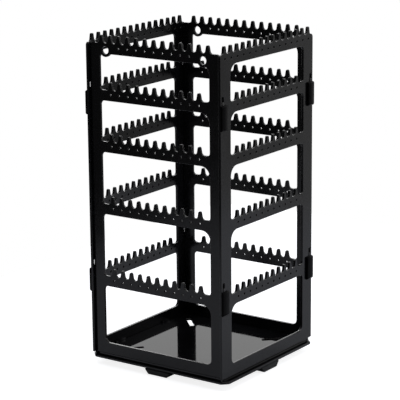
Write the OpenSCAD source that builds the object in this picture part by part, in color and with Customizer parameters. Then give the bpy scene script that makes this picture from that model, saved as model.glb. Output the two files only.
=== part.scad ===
// Rotating counter-top rack for earrings and necklaces, in black moulded plastic.
// Four comb panels hook together at the corners into a square tower. The tower stands on a
// tray, and the tray turns on a ball race over a low cross-shaped base.
// +Z is up. The origin is on the surface that the rack stands on, under the tower's axis.
// Front and back are at -Y and +Y, right and left at +X and -X.

/* [Tower] */
// Length of a socket panel, which is the outer size of the tower along Y
tower_y = 154; // [140:1:180]
// Outer size of the tower along X, over the faces of the two socket panels
tower_x = 150; // [140:1:180]
// Thickness of the moulded panels
panel_t = 2.5; // [2:0.1:3]
// How far a hook panel lies inside the ends of the socket panels
hook_inset = 2.6; // [2.4:0.1:4]
// Width of each post of a socket panel
socket_post = 16.2; // [14:0.1:17]
// Width of each post of a hook panel
hook_post = 11; // [9:0.1:13]
// Rounding of the top outer corners
top_r = 3.2; // [2:0.2:3.8]

/* [Combs] */
// Height of the sill bar that closes each panel at the bottom
sill_h = 10.7; // [8:0.1:13]
// Height of the lowest row of teeth above the bottom edge of the panel
comb_1 = 77; // [60:1:90]
// Distance from the lowest row up to the second one
comb_gap_2 = 70; // [55:1:80]
// Distance from the second row up to the third one
comb_gap_3 = 59.4; // [45:0.1:70]
// Distance from the third row up to the fourth one
comb_gap_4 = 48.7; // [36:0.1:60]
// Distance from the fourth row up to the top one
comb_gap_5 = 43.6; // [34:0.1:60]
// Height of a rail, from the foot of its teeth down to its lower edge
rail_h = 10; // [8:0.2:12]
// Distance from one tooth to the next
pitch = 9.9; // [9:0.1:10]
// Height of a tooth above the foot of the notches
tooth_h = 7.3; // [6.5:0.1:10]
// Width of a tooth at its rounded tip
tooth_tip = 3.2; // [2.4:0.2:4]
// Radius of the notches between two teeth
notch_r = 2.8; // [2:0.1:3]
// Diameter of the small hole under each tooth, for stud earrings
stud_hole = 2; // [1.4:0.1:2.6]
// Depth of these holes under the foot of the teeth
stud_drop = 4.1; // [3.4:0.1:5.5]
// Larger radius of the upper window corners
bend_r = 9.5; // [6:0.5:12]
// Smaller radius of the upper window corners
small_r = 4.2; // [2:0.2:6]
// Radius of the two lower corners of the big window
sill_r = 5; // [2:0.5:8]

/* [Necklace eyes] */
// Diameter of the two round eyes at the top of a hook panel
eye_d = 7.4; // [5:0.2:9]
// Width of the ring of plastic round an eye
eye_ring = 2.6; // [1.6:0.1:4]
// Distance of an eye from the middle of the panel
eye_x = 54.5; // [50:0.5:56]
// Depth of an eye's centre under the foot of the top teeth
eye_drop = 6.6; // [6.4:0.1:9]

/* [Corner sockets] */
// Height of the lower sockets above the bottom edge of the panels
socket_low = 60.1; // [40:0.1:100]
// Height of the upper sockets above the bottom edge of the panels
socket_high = 230.7; // [190:0.1:240]
// Height of a socket block
socket_h = 22.6; // [16:0.1:28]
// Width of a socket block
socket_w = 9.8; // [8.5:0.1:12]
// How far a socket block stands proud of its panel
socket_out = 2; // [1.8:0.1:3]
// Outer wall of a socket
socket_wall = 1.2; // [0.9:0.1:1.4]
// Inner wall of a socket, between the pocket and the inside of the tower
socket_web = 1.1; // [0.8:0.1:1.3]
// Height of the slit over a socket, where a hook goes in
slit_h = 8; // [7:0.5:12]
// Height of the neck that carries a hook
neck_h = 3; // [2:0.2:4]
// Clearance round a hook and between the panels
play = 0.3; // [0.2:0.05:0.4]

/* [Tray] */
// Thickness of the tray floor
floor_t = 2; // [1.6:0.1:2.6]
// Height of the shadow gap between the panels and the tray flange
gap_h = 3.1; // [2.6:0.1:4]
// Depth of that gap under the panel faces
gap_d = 1.8; // [1.5:0.1:2]
// Thickness of the tray flange
flange_t = 2.5; // [2:0.1:3.5]
// How far the flange stands out past the hook panels' faces and past the sockets
flange_out = 1.4; // [0:0.2:3]
// Chamfer on the corners of the flange
flange_cut = 5.5; // [2:0.5:8]
// Chamfer on the corners of the raised platform, small enough to close the tower's corners
platform_cut = 1.2; // [0.6:0.1:1.4]
// Width of the platform's ears under the ends of the socket panels
ear_w = 1.2; // [0.8:0.1:1.4]
// Thickness of the flange's inner skirt
skirt_t = 2.6; // [2:0.1:3.4]
// Length of the slots in the tray corners
slot_l = 24; // [12:1:30]
// Width of these slots
slot_w = 5; // [3:0.5:6]
// Distance from the inner corner of the tower to the middle of a slot, along the diagonal
slot_from_corner = 32; // [18:1:38]
// Width of the lugs that seat a panel in the tray
lug_w = 14; // [8:1:20]
// Distance of a lug from the middle of its panel
lug_x = 38; // [25:1:45]
// Thickness of a lug's tongue
lug_t = 1.2; // [1:0.1:1.4]
// Height of a lug above the tray floor
lug_h = 2; // [1:0.2:4]
// Wall of the tray rim outside the tongues
rim_wall = 1; // [0.8:0.1:1.3]
// Thickness of the ribs under the tray floor
rib_t = 1.6; // [1.2:0.2:2.4]

/* [Swivel base] */
// Clear height from the table to the underside of the tray flange
base_h = 6.5; // [6:0.1:9]
// Gap between the arms of the base and the turning flange
turn_gap = 0.6; // [0.4:0.1:1.2]
// Width of an arm at its top
arm_w = 30; // [24:1:36]
// Width of a foot where it stands
foot_w = 21; // [16:1:24]
// Length of a foot along its arm
foot_l = 12; // [9:0.5:18]
// Thickness of the arms
arm_t = 3; // [2.4:0.1:4]
// How far a foot's end stays inside the outer edge of the flange
foot_in = 0.5; // [0.5:0.5:6]
// Thickness of the rubber pads
pad_t = 1.4; // [1.2:0.1:2]
// Wall of the foot round a pad
pad_rim = 2; // [1.5:0.5:3]
// How far the pads stand out under the feet
pad_out = 0.8; // [0.5:0.1:1]
// Diameter of the hub in the middle of the base
hub_d = 60; // [56:1:70]

/* [Ball race] */
// Diameter of the bearing balls
ball_d = 4; // [3.6:0.1:4.2]
// Number of bearing balls
ball_n = 12; // [6:1:16]
// Diameter of the circle on which the balls run
race_d = 48; // [44:1:50]
// Thickness of the ball cage
cage_t = 1; // [0.8:0.1:1.2]
// Width of the ball cage
cage_w = 7; // [6:0.5:8]
// Clearance between balls, cage and races
race_play = 0.2; // [0.15:0.05:0.3]

/* [Pivot] */
// Diameter of the pivot boss under the tray
pivot_d = 12; // [10:0.5:14]
// Diametral running clearance of the pivot boss in the hub
pivot_play = 0.1; // [0.04:0.02:0.16]
// Diameter of the washer that holds the tray down
washer_d = 20; // [17:0.5:26]
// Thickness of that washer
washer_t = 1; // [0.8:0.1:1.2]
// Gap between the hub and the washer
washer_gap = 0.3; // [0.2:0.05:0.4]
// Diameter of the pivot screw
screw_d = 3; // [2.5:0.5:4]
// Height of the screw's pan head
head_h = 1.2; // [1:0.1:1.4]
// Diameter of the screw's pan head
head_d = 6; // [5.5:0.5:8]

/* [Hidden] */
$fn = 48;
e = 0.01; // overlap that joins two pieces of one moulding
quarter = [0, 90, 180, 270];

// Heights, from the table up
flange_z = base_h;
gap_z = flange_z + flange_t;
panel_z = gap_z + gap_h; // bottom edge of the panels and top of the tray floor
under_z = panel_z - floor_t; // underside of the tray floor
arm_z = base_h - turn_gap; // top of the arms of the base

// Rows of teeth, above the bottom edge of the panels
comb_z = [
    comb_1,
    comb_1 + comb_gap_2,
    comb_1 + comb_gap_2 + comb_gap_3,
    comb_1 + comb_gap_2 + comb_gap_3 + comb_gap_4,
    comb_1 + comb_gap_2 + comb_gap_3 + comb_gap_4 + comb_gap_5
];
rows = len(comb_z);
top_z = comb_z[rows - 1];

// Faces of the panels
hook_y = tower_y / 2 - hook_inset; // outer face of a hook panel
socket_x = tower_x / 2; // outer face of a socket panel
hook_w = tower_x - 2 * panel_t - 2 * play; // length of a hook panel between the sockets
hook_win = hook_w / 2 - hook_post; // half a window of a hook panel
socket_win = tower_y / 2 - socket_post; // half a window of a socket panel
tooth_foot = pitch - 2 * notch_r; // width of a tooth where the notches end

// Teeth that fit in a row, counted so that one stands in the middle
function odd_teeth(room) = 2 * floor(room / 2 / pitch) + 1;
inner_n = odd_teeth(2 * min(hook_win, socket_win) - 2 * notch_r - tooth_foot);
hook_top_n = inner_n + 2;
socket_top_n = odd_teeth(tower_y - 2 * top_r);

// Corner sockets and hooks
socket_z = [socket_low, socket_high];
slit_w = panel_t + 2 * play; // width of the slit and of the pocket
slit_y = hook_y - panel_t / 2; // middle plane of a hook panel
leg_x0 = tower_x / 2 - panel_t + socket_web + play; // inner face of a hook's leg
leg_x1 = tower_x / 2 + socket_out - socket_wall - play; // outer face of a hook's leg
leg_drop = slit_h - neck_h - 2 * play; // how far a hook's leg reaches into its socket

// Tray
tray_x = tower_x / 2 - gap_d; // half the raised platform, along X
tray_y = hook_y - gap_d; // half the raised platform, along Y
ear_y = tower_y / 2 - gap_d; // the ears end as far inside the socket panels' ends as the rest
flange_x = tower_x / 2 + socket_out + flange_out;
flange_y = hook_y + flange_out;
slot_x = tower_x / 2 - panel_t - slot_from_corner / sqrt(2);
slot_y = hook_y - panel_t - slot_from_corner / sqrt(2);
lug_x1 = gap_d + rim_wall + play / 2; // a tongue's outer face, inward from its panel's face

// Base, race and pivot
foot_x = flange_x - foot_in; // outer end of the feet along X
foot_y = flange_y - foot_in; // outer end of the feet along Y
race_r = race_d / 2;
ball_drop = 0.7; // how far the balls' centres lie under the middle between arms and floor
ball_z = (arm_z + under_z) / 2 - ball_drop; // height of the balls' centres
hub_top = ball_z - cage_t / 2 - 2 * race_play; // top face of the hub
ring_z = ball_z + cage_t / 2 + 2 * race_play; // lower face of the ring under the tray
groove_r = ball_d / 2 + race_play; // section radius of both grooves
washer_z = base_h / 3; // underside of the washer
boss_z = washer_z + washer_t; // lower end of the pivot boss
seat_z = boss_z + washer_gap; // face of the hub over the washer
pocket_d = washer_d + 2; // well in the hub for the washer
hub_rim = 0.4; // how far the hub reaches below the washer
hub_z = washer_z - hub_rim; // underside of the hub
screw_gap = 0.5; // plastic left between the screw's hole and the top of the boss
bore_l = under_z - boss_z - screw_gap; // depth of the screw's hole in the boss
screw_l = bore_l - 0.3; // length of the screw in the boss
recess_w = 0.8; // width of the cross recess in the screw's head
recess_h = 0.6 * head_h; // depth of that recess

// ---- Comb panels, drawn flat: x along the panel, y up from its bottom edge ----

// One tapered tooth with a round tip, from the middle of its foot
module tooth() {
    tip_y = tooth_h - tooth_tip / 2;
    polygon([
        [-tooth_foot / 2, notch_r - e], [tooth_foot / 2, notch_r - e],
        [tooth_tip / 2, tip_y], [-tooth_tip / 2, tip_y]
    ]);
    translate([0, tip_y]) circle(d = tooth_tip);
}

// The notches of a row of n teeth. end is the distance from the middle to what closes the row
module notches(n, end) {
    first = -(n - 1) / 2 * pitch;
    for (i = [0 : n - 2])
        translate([first + (i + 0.5) * pitch, notch_r]) circle(r = notch_r);
    for (side = [-1, 1]) {
        inner = -first + tooth_foot / 2 + notch_r;
        outer = end - notch_r;
        translate([side * inner, notch_r]) circle(r = notch_r);
        if (outer > inner) {
            translate([side * outer, notch_r]) circle(r = notch_r);
            translate([side > 0 ? inner : -outer, 0]) square([outer - inner, 2 * notch_r]);
        }
    }
}

// What rounds one corner of a window: a square less a quarter of a circle, at the corner
module corner_fill(r) {
    difference() {
        square(r);
        translate([r, r]) circle(r = r);
    }
}

// A window of half width w from y0 up to y1, with the radii of its four corners
module window(w, y0, y1, r_left, r_right, r_sill) {
    difference() {
        translate([-w, y0]) square([2 * w, y1 - y0]);
        translate([-w, y1]) mirror([0, 1]) corner_fill(r_left);
        translate([w, y1]) rotate(180) corner_fill(r_right);
        if (r_sill > 0) {
            translate([-w, y0]) corner_fill(r_sill);
            translate([w, y0]) mirror([1, 0]) corner_fill(r_sill);
        }
    }
}

// Blank of a panel: its outline, its windows and the notches of its inner rows
module blank(width, win, r_left, r_right) {
    top = top_z + notch_r;
    difference() {
        translate([-width / 2, 0]) square([width, top]);
        window(win, sill_h, comb_z[0] - rail_h, r_left, r_right, sill_r);
        for (i = [1 : rows - 1])
            window(win, comb_z[i - 1] + notch_r, comb_z[i] - rail_h, r_left, r_right, 0);
        for (i = [0 : rows - 2])
            translate([0, comb_z[i]]) notches(inner_n, win);
    }
}

module stud_holes(n) {
    for (i = [0 : n - 1])
        translate([(i - (n - 1) / 2) * pitch, -stud_drop]) circle(d = stud_hole);
}

module row_of_teeth(n) {
    for (i = [0 : n - 1])
        translate([(i - (n - 1) / 2) * pitch, 0]) tooth();
}

// Cuts the top row of notches and rounds the outer corners of the posts
module top_cut(n, width) {
    flank = (n - 1) / 2 * pitch + tooth_foot / 2; // outer flank of the last tooth
    end = width / 2;
    r = min(notch_r, end - flank - top_r); // fillet between that flank and the shoulder
    translate([0, top_z]) {
        for (i = [0 : n - 2])
            translate([(i + 0.5 - (n - 1) / 2) * pitch, notch_r]) circle(r = notch_r);
        for (side = [-1, 1]) {
            translate([side * (flank + r), r]) circle(r = r);
            translate([side > 0 ? flank : -end - e, r]) square([end - flank + e, 2 * notch_r]);
            translate([side > 0 ? flank + r : -end - e, 0]) square([end - flank - r + e, 2 * r]);
        }
    }
}

module post_corners(width) {
    translate([-width / 2, top_z]) mirror([0, 1]) corner_fill(top_r);
    translate([width / 2, top_z]) rotate(180) corner_fill(top_r);
}

// Outline of a socket panel, with its row of teeth reaching to both ends
module socket_outline() {
    difference() {
        union() {
            difference() {
                blank(tower_y, socket_win, bend_r, small_r);
                top_cut(socket_top_n, tower_y);
                post_corners(tower_y);
            }
            translate([0, top_z]) row_of_teeth(socket_top_n);
            for (i = [0 : rows - 2]) translate([0, comb_z[i]]) row_of_teeth(inner_n);
        }
        translate([0, top_z]) stud_holes(socket_top_n);
        for (i = [0 : rows - 2]) translate([0, comb_z[i]]) stud_holes(inner_n);
        for (side = [-1, 1], z = socket_z)
            translate([side * slit_y - slit_w / 2, z + socket_h]) square([slit_w, slit_h]);
    }
}

// Outline of a hook panel, with the two eyes in their rings
module hook_outline() {
    difference() {
        union() {
            difference() {
                blank(hook_w, hook_win, small_r, bend_r);
                top_cut(hook_top_n, hook_w);
                post_corners(hook_w);
            }
            translate([0, top_z]) row_of_teeth(hook_top_n);
            for (i = [0 : rows - 2]) translate([0, comb_z[i]]) row_of_teeth(inner_n);
            for (side = [-1, 1])
                translate([side * eye_x, top_z - eye_drop]) circle(d = eye_d + 2 * eye_ring);
        }
        for (side = [-1, 1])
            translate([side * eye_x, top_z - eye_drop]) circle(d = eye_d);
        translate([0, top_z]) stud_holes(hook_top_n - 4);
        for (i = [0 : rows - 2]) translate([0, comb_z[i]]) stud_holes(inner_n);
    }
}

// ---- Fittings of the panels, drawn with the panel's outer face at y = 0 and its inner at panel_t ----

// Block outside the panel that takes a hook, flush with the panel's end on that side
module socket_block(side) {
    cut = socket_out / 2;
    end = tower_y / 2;
    translate([side > 0 ? end - socket_w : -end, 0, 0])
        rotate([90, 0, 90])
            linear_extrude(socket_w)
                polygon([
                    [e, 0], [-socket_out + cut, 0], [-socket_out, cut],
                    [-socket_out, socket_h - cut], [-socket_out + cut, socket_h], [e, socket_h]
                ]);
}

// Pocket inside a socket block, open at the top into the slit
module socket_pocket(side) {
    depth = leg_x1 - leg_x0 + 2 * play;
    translate([side * slit_y - slit_w / 2, -socket_out + socket_wall, socket_wall])
        cube([slit_w, depth, socket_h - socket_wall + e]);
}

// Hook at one end of a hook panel: a neck through the slit and a leg down into the pocket
module hook(side, z) {
    neck_z = z + socket_h + play;
    root_x = hook_w / 2 - 1; // the neck starts inside the post
    translate([side > 0 ? root_x : -leg_x1, 0, neck_z]) cube([leg_x1 - root_x, panel_t, neck_h]);
    translate([side > 0 ? leg_x0 : -leg_x1, 0, neck_z - play - leg_drop])
        cube([leg_x1 - leg_x0, panel_t, leg_drop + play + e]);
}

// Lug on the inner face of a panel, with a tongue down into the tray floor
module lug(x) {
    reach = lug_x1 + lug_t; // inner face of the tongue, from the panel's outer face
    translate([x - lug_w / 2, 0, 0]) rotate([90, 0, 90]) linear_extrude(lug_w)
        polygon([
            [panel_t - e, 0], [lug_x1, 0], [lug_x1, play - floor_t], [reach, play - floor_t],
            [reach, lug_h], [panel_t - e, lug_h]
        ]);
}

// A hook panel with its outer face at y = 0, facing -Y
module hook_panel() {
    translate([0, panel_t, 0]) rotate([90, 0, 0]) linear_extrude(panel_t) hook_outline();
    for (side = [-1, 1]) {
        for (z = socket_z) hook(side, z);
        lug(side * lug_x);
    }
}

// A socket panel with its outer face at y = 0, facing -Y
module socket_panel() {
    difference() {
        union() {
            translate([0, panel_t, 0]) rotate([90, 0, 0]) linear_extrude(panel_t) socket_outline();
            for (side = [-1, 1]) {
                for (z = socket_z) translate([0, 0, z]) socket_block(side);
                lug(side * lug_x);
            }
        }
        for (side = [-1, 1], z = socket_z) translate([0, 0, z]) socket_pocket(side);
    }
}

module front_panel() { color("#1a1b1d") translate([0, -hook_y, panel_z]) hook_panel(); }

module back_panel() {
    color("#1a1b1d") translate([0, hook_y, panel_z]) mirror([0, 1, 0]) hook_panel();
}

module right_panel() {
    color("#2a2b2d") translate([socket_x, 0, panel_z]) rotate(90) socket_panel();
}

module left_panel() {
    color("#2a2b2d") translate([-socket_x, 0, panel_z]) rotate(90) mirror([0, 1, 0]) socket_panel();
}

// ---- Tray ----

// Rectangle of half sizes x and y with its four corners cut off
module cut_rect(x, y, cut) {
    polygon([
        [x - cut, y], [x, y - cut], [x, cut - y], [x - cut, -y],
        [cut - x, -y], [-x, cut - y], [-x, y - cut], [cut - x, y]
    ]);
}

module tray_slots() {
    for (sx = [-1, 1], sy = [-1, 1])
        translate([sx * slot_x, sy * slot_y, under_z - e])
            rotate(sx * sy * 45)
                translate([-slot_l / 2, -slot_w / 2, 0]) cube([slot_l, slot_w, floor_t + 2 * e]);
}

// Slots in the floor for the tongues of the four panels
module lug_slots() {
    lug_mid = lug_x1 + lug_t / 2; // middle of a tongue, inward from its panel's face
    for (side = [-1, 1], x = [-lug_x, lug_x]) {
        translate([x, side * (hook_y - lug_mid), panel_z])
            cube([lug_w + 2 * play, lug_t + play, 2 * floor_t], center = true);
        translate([side * (socket_x - lug_mid), x, panel_z])
            cube([lug_t + play, lug_w + 2 * play, 2 * floor_t], center = true);
    }
}

module tray_rim() {
    difference() {
        union() {
            translate([0, 0, flange_z]) linear_extrude(flange_t) cut_rect(flange_x, flange_y, flange_cut);
            translate([0, 0, flange_z + e]) linear_extrude(panel_z - flange_z - e) {
                cut_rect(tray_x, tray_y, platform_cut);
                for (side = [-1, 1]) // strips whose ends are the ears
                    translate([side * (tray_x - ear_w / 2), 0]) square([ear_w, 2 * ear_y], center = true);
            }
        }
        translate([0, 0, flange_z - e]) linear_extrude(under_z - flange_z + e)
            cut_rect(tray_x - skirt_t, tray_y - skirt_t, platform_cut);
        tray_slots();
        lug_slots();
    }
}

// Ring under the floor with the upper groove, and the ribs that carry it out to the skirt
module upper_race() {
    rib_h = under_z - ring_z;
    rib_x = race_r + cage_w / 2 - 1; // the ribs start inside the ring
    difference() {
        translate([0, 0, ring_z]) cylinder(r = race_r + cage_w / 2, h = rib_h + e, $fn = 96);
        translate([0, 0, ring_z - e]) cylinder(r = race_r - cage_w / 2, h = rib_h + e, $fn = 96);
        translate([0, 0, ball_z]) rotate_extrude($fn = 96) translate([race_r, 0]) circle(r = groove_r);
    }
    for (i = [0 : 3]) rotate(quarter[i]) {
        rib_end = (i % 2 == 0 ? tray_x : tray_y) - skirt_t / 2;
        translate([rib_x, -rib_t / 2, ring_z]) cube([rib_end - rib_x, rib_t, rib_h + e]);
    }
}

module pivot_boss() {
    difference() {
        translate([0, 0, boss_z]) cylinder(d = pivot_d, h = under_z - boss_z + e);
        translate([0, 0, boss_z - e]) cylinder(d = screw_d + pivot_play, h = bore_l + e);
    }
}

module tray() {
    color("#101113") {
        tray_rim();
        upper_race();
        pivot_boss();
    }
}

// ---- Swivel base ----

// Arm of half length l along +X with its foot, seen from the end as the trapezoid of the foot
module arm(l) {
    foot_z = pad_out;
    difference() {
        rotate([90, 0, 90]) linear_extrude(l)
            polygon([
                [-arm_w / 2, arm_z], [-foot_w / 2, foot_z], [foot_w / 2, foot_z], [arm_w / 2, arm_z]
            ]);
        translate([-1, -arm_w, foot_z - 1]) cube([l - foot_l + 1, 2 * arm_w, arm_z - arm_t - foot_z + 1]);
        translate([l - foot_l + pad_rim, pad_rim - foot_w / 2, foot_z - 1])
            cube([foot_l - 2 * pad_rim, foot_w - 2 * pad_rim, 1 + pad_t - pad_out]);
    }
}

module swivel_base() {
    color("#151618") difference() {
        union() {
            for (a = [0, 180]) rotate(a) arm(foot_x);
            for (a = [90, 270]) rotate(a) arm(foot_y);
            translate([0, 0, hub_z]) cylinder(d = hub_d, h = hub_top - hub_z, $fn = 96);
        }
        translate([0, 0, ball_z]) rotate_extrude($fn = 96) translate([race_r, 0]) circle(r = groove_r);
        translate([0, 0, hub_z - 1]) cylinder(d = pivot_d + pivot_play, h = hub_top);
        translate([0, 0, hub_z - 1]) cylinder(d = pocket_d, h = seat_z - hub_z + 1);
    }
}

// Rubber pad in the foot that ends l from the axis, at angle a
module pad(a, l) {
    color("#3a3b3d") rotate(a)
        translate([l - foot_l + pad_rim + play / 2, pad_rim + play / 2 - foot_w / 2, 0])
            cube([foot_l - 2 * pad_rim - play, foot_w - 2 * pad_rim - play, pad_t]);
}

module right_pad() { pad(0, foot_x); }

module back_pad() { pad(90, foot_y); }

module left_pad() { pad(180, foot_x); }

module front_pad() { pad(270, foot_y); }

// ---- Ball race and pivot ----

module bearing_balls() {
    color("#c9ccd1") for (i = [0 : ball_n - 1]) rotate(i * 360 / ball_n)
        translate([race_r, 0, ball_z]) sphere(d = ball_d);
}

module ball_cage() {
    color("#e8e6df") difference() {
        translate([0, 0, ball_z - cage_t / 2]) cylinder(r = race_r + cage_w / 2, h = cage_t, $fn = 96);
        translate([0, 0, ball_z - cage_t]) cylinder(r = race_r - cage_w / 2, h = 2 * cage_t, $fn = 96);
        for (i = [0 : ball_n - 1]) rotate(i * 360 / ball_n)
            translate([race_r, 0, ball_z - cage_t]) cylinder(d = ball_d + 2 * race_play, h = 2 * cage_t);
    }
}

module pivot_washer() {
    color("#b9bcc0") difference() {
        translate([0, 0, washer_z]) cylinder(d = washer_d, h = washer_t);
        translate([0, 0, washer_z - 1]) cylinder(d = screw_d + pivot_play, h = washer_t + 2);
    }
}

module pivot_screw() {
    color("#a6a9ae") difference() {
        union() {
            translate([0, 0, washer_z - head_h]) cylinder(d = head_d, h = head_h);
            translate([0, 0, washer_z - e]) cylinder(d = screw_d, h = washer_t + screw_l + e);
        }
        for (a = [0, 90]) rotate(a)
            translate([-head_d / 4, -recess_w / 2, washer_z - head_h - e])
                cube([head_d / 2, recess_w, recess_h + e]);
    }
}

front_panel();
back_panel();
left_panel();
right_panel();
tray();
swivel_base();
front_pad();
back_pad();
left_pad();
right_pad();
bearing_balls();
ball_cage();
pivot_washer();
pivot_screw();
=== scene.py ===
"""Rotating counter-top display rack, dressed over its CAD frame.

Four comb panels in moulded black ABS hook together into a square tower, on a glossy tray that
turns on a ball race over a cross-shaped base. Sizes are in millimetres up to the point where a
mesh is written, which is in metres, in the frame of the CAD.
"""
import logging
import math
from dataclasses import dataclass, field
from enum import Enum

import bmesh
import bpy
from mathutils import Matrix, Vector
from mathutils.geometry import delaunay_2d_cdt


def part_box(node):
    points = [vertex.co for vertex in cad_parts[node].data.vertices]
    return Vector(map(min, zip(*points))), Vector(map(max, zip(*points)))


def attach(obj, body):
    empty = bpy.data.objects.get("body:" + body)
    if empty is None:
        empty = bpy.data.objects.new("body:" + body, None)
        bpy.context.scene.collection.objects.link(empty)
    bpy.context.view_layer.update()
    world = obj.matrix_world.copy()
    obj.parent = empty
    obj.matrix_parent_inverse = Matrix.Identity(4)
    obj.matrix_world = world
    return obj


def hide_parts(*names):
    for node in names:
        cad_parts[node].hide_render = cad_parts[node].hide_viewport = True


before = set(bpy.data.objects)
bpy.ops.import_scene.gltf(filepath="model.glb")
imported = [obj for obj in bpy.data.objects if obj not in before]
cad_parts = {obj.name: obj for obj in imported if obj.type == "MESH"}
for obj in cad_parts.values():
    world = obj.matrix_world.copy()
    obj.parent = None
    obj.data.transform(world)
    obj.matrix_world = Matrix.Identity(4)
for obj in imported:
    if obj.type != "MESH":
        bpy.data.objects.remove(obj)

LOG = logging.getLogger("rack")
MM = 0.001
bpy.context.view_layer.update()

Point = tuple[float, float]
Place = tuple[float, float, float]
Loop = list[Point]
Ring = list[bmesh.types.BMVert]

# Small distances, in millimetres
SAME_POINT = 1e-4  # points nearer than this are one
NEAR = 1e-3  # slack where lengths are compared
WELD = 0.02  # ends of copies nearer than this are joined

MITRE_LIMIT = 0.4  # keeps the mitre of a very sharp corner short
HALVINGS = 40  # of a segment, to find where it meets a circle

# For delaunay_2d_cdt: only the triangles inside the faces, and its own small distance
INSIDE_ONLY = 1
CDT_NEAR = 1e-7

# Sockets of a Mix node for colours, which share their names with those for numbers
MIX_A, MIX_B, MIX_RESULT = 6, 7, 2

# Chords in the arcs, as few as still look round
CORNER_CHORDS = 3
BOSS_CHORDS = 14
NOTCH_CHORDS = 5
TIP_CHORDS = 8
WINDOW_CHORDS = 8
SILL_CHORDS = 6
TOP_CHORDS = 5
FILLET_CHORDS = 4
HOOK_CHORDS = 2
SHOULDER_CHORDS = 3
STUD_CHORDS = 18
EYE_CHORDS = 32
GROOVE_CHORDS = 12
POCKET_CHORDS = 24
FINE_STEPS = 128
TURN_STEPS = 96
SMALL_STEPS = 64
SCREW_STEPS = 48
BALL_SUBDIVISIONS = 4


# ---- Outlines -------------------------------------------------------------------------------

def arc(cx: float, cy: float, r: float, start: float, end: float, steps: int) -> Loop:
    """Points on a circle.

    Args:
        cx, cy: Centre.
        r: Radius.
        start, end: Angles in degrees, in the order of travel.
        steps: Number of chords.

    Returns:
        steps + 1 points from start to end.
    """
    angles = [math.radians(start + (end - start) * i / steps) for i in range(steps + 1)]
    return [(cx + r * math.cos(a), cy + r * math.sin(a)) for a in angles]


def circle(cx: float, cy: float, r: float, steps: int) -> Loop:
    """A closed circle of steps points, anticlockwise."""
    return arc(cx, cy, r, 0, 360, steps)[:-1]


def area(loop: Loop) -> float:
    """Signed area of a closed loop, positive where it runs anticlockwise."""
    return sum(a[0] * b[1] - b[0] * a[1] for a, b in zip(loop, loop[1:] + loop[:1])) / 2


def turned(loop: Loop, anticlockwise: bool) -> Loop:
    """The loop without doubled points, running the way that is asked for."""
    clean = [p for p, q in zip(loop, loop[-1:] + loop[:-1]) if math.dist(p, q) > SAME_POINT]
    return clean if (area(clean) > 0) == anticlockwise else clean[::-1]


def bearing(way: Vector) -> float:
    """Direction of a plane vector, in degrees from the first axis."""
    return math.degrees(math.atan2(way.y, way.x))


def rounded(corners: Loop, r: float) -> Loop:
    """A convex polygon with its corners rounded.

    Args:
        corners: The polygon, anticlockwise.
        r: Radius of the rounding.

    Returns:
        The rounded loop, anticlockwise.
    """
    out: Loop = []
    befores, afters = corners[-1:] + corners[:-1], corners[1:] + corners[:1]
    for before, here, after in zip(befores, corners, afters):
        a, b, c = Vector(before), Vector(here), Vector(after)
        to_a, to_c = (a - b).normalized(), (c - b).normalized()
        half = to_a.angle(to_c) / 2
        back = r / math.tan(half)
        centre = b + (to_a + to_c).normalized() * r / math.sin(half)
        a0, a1 = bearing(b + to_a * back - centre), bearing(b + to_c * back - centre)
        out += arc(centre.x, centre.y, r, a0, a0 + (a1 - a0) % 360, CORNER_CHORDS)
    return out


def rectangle(x0: float, y0: float, x1: float, y1: float, r: float = 0.0) -> Loop:
    """An axis-aligned rectangle, anticlockwise, with corners of radius r."""
    corners = [(x0, y0), (x1, y0), (x1, y1), (x0, y1)]
    return rounded(corners, r) if r else corners


def cut_rectangle(x: float, y: float, cut: float, r: float) -> Loop:
    """A rectangle of half sizes x and y, whose corners are cut off by cut and then rounded."""
    return rounded([(cut - x, -y), (x - cut, -y), (x, cut - y), (x, y - cut),
                    (x - cut, y), (cut - x, y), (-x, y - cut), (-x, cut - y)], r)


def slot(cx: float, cy: float, length: float, width: float, turn: float, r: float) -> Loop:
    """A slot with square ends and softened corners.

    Args:
        cx, cy: Centre.
        length, width: Sizes.
        turn: Angle of its length from the first axis, in degrees.
        r: Radius of the corners.

    Returns:
        The loop, anticlockwise.
    """
    loop = rectangle(-length / 2, -width / 2, length / 2, width / 2, r)
    c, s = math.cos(math.radians(turn)), math.sin(math.radians(turn))
    return [(cx + x * c - y * s, cy + x * s + y * c) for x, y in loop]


def inset(loop: Loop, d: float) -> Loop:
    """The loop moved sideways, with mitred corners.

    Args:
        loop: A closed loop.
        d: How far it moves to the left of its travel.

    Returns:
        A loop of as many points.
    """
    out: Loop = []
    for before, here, after in zip(loop[-1:] + loop[:-1], loop, loop[1:] + loop[:1]):
        a = (Vector(here) - Vector(before)).normalized()
        b = (Vector(after) - Vector(here)).normalized()
        n0, n1 = Vector((-a.y, a.x)), Vector((-b.y, b.x))
        move = (n0 + n1) / max(1 + n0.dot(n1), MITRE_LIMIT) * d
        out.append((here[0] + move.x, here[1] + move.y))
    return out


def crossing(mid: Vector, r: float, inside: Vector, outside: Vector) -> Vector:
    """Where a segment leaves a circle.

    Args:
        mid: Centre of the circle.
        r: Its radius.
        inside, outside: Ends of the segment, in the circle and out of it.

    Returns:
        The point on the circle.
    """
    lo, hi = 0.0, 1.0
    for _ in range(HALVINGS):
        t = (lo + hi) / 2
        if (inside.lerp(outside, t) - mid).length < r:
            lo = t
        else:
            hi = t
    return inside.lerp(outside, lo)


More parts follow.
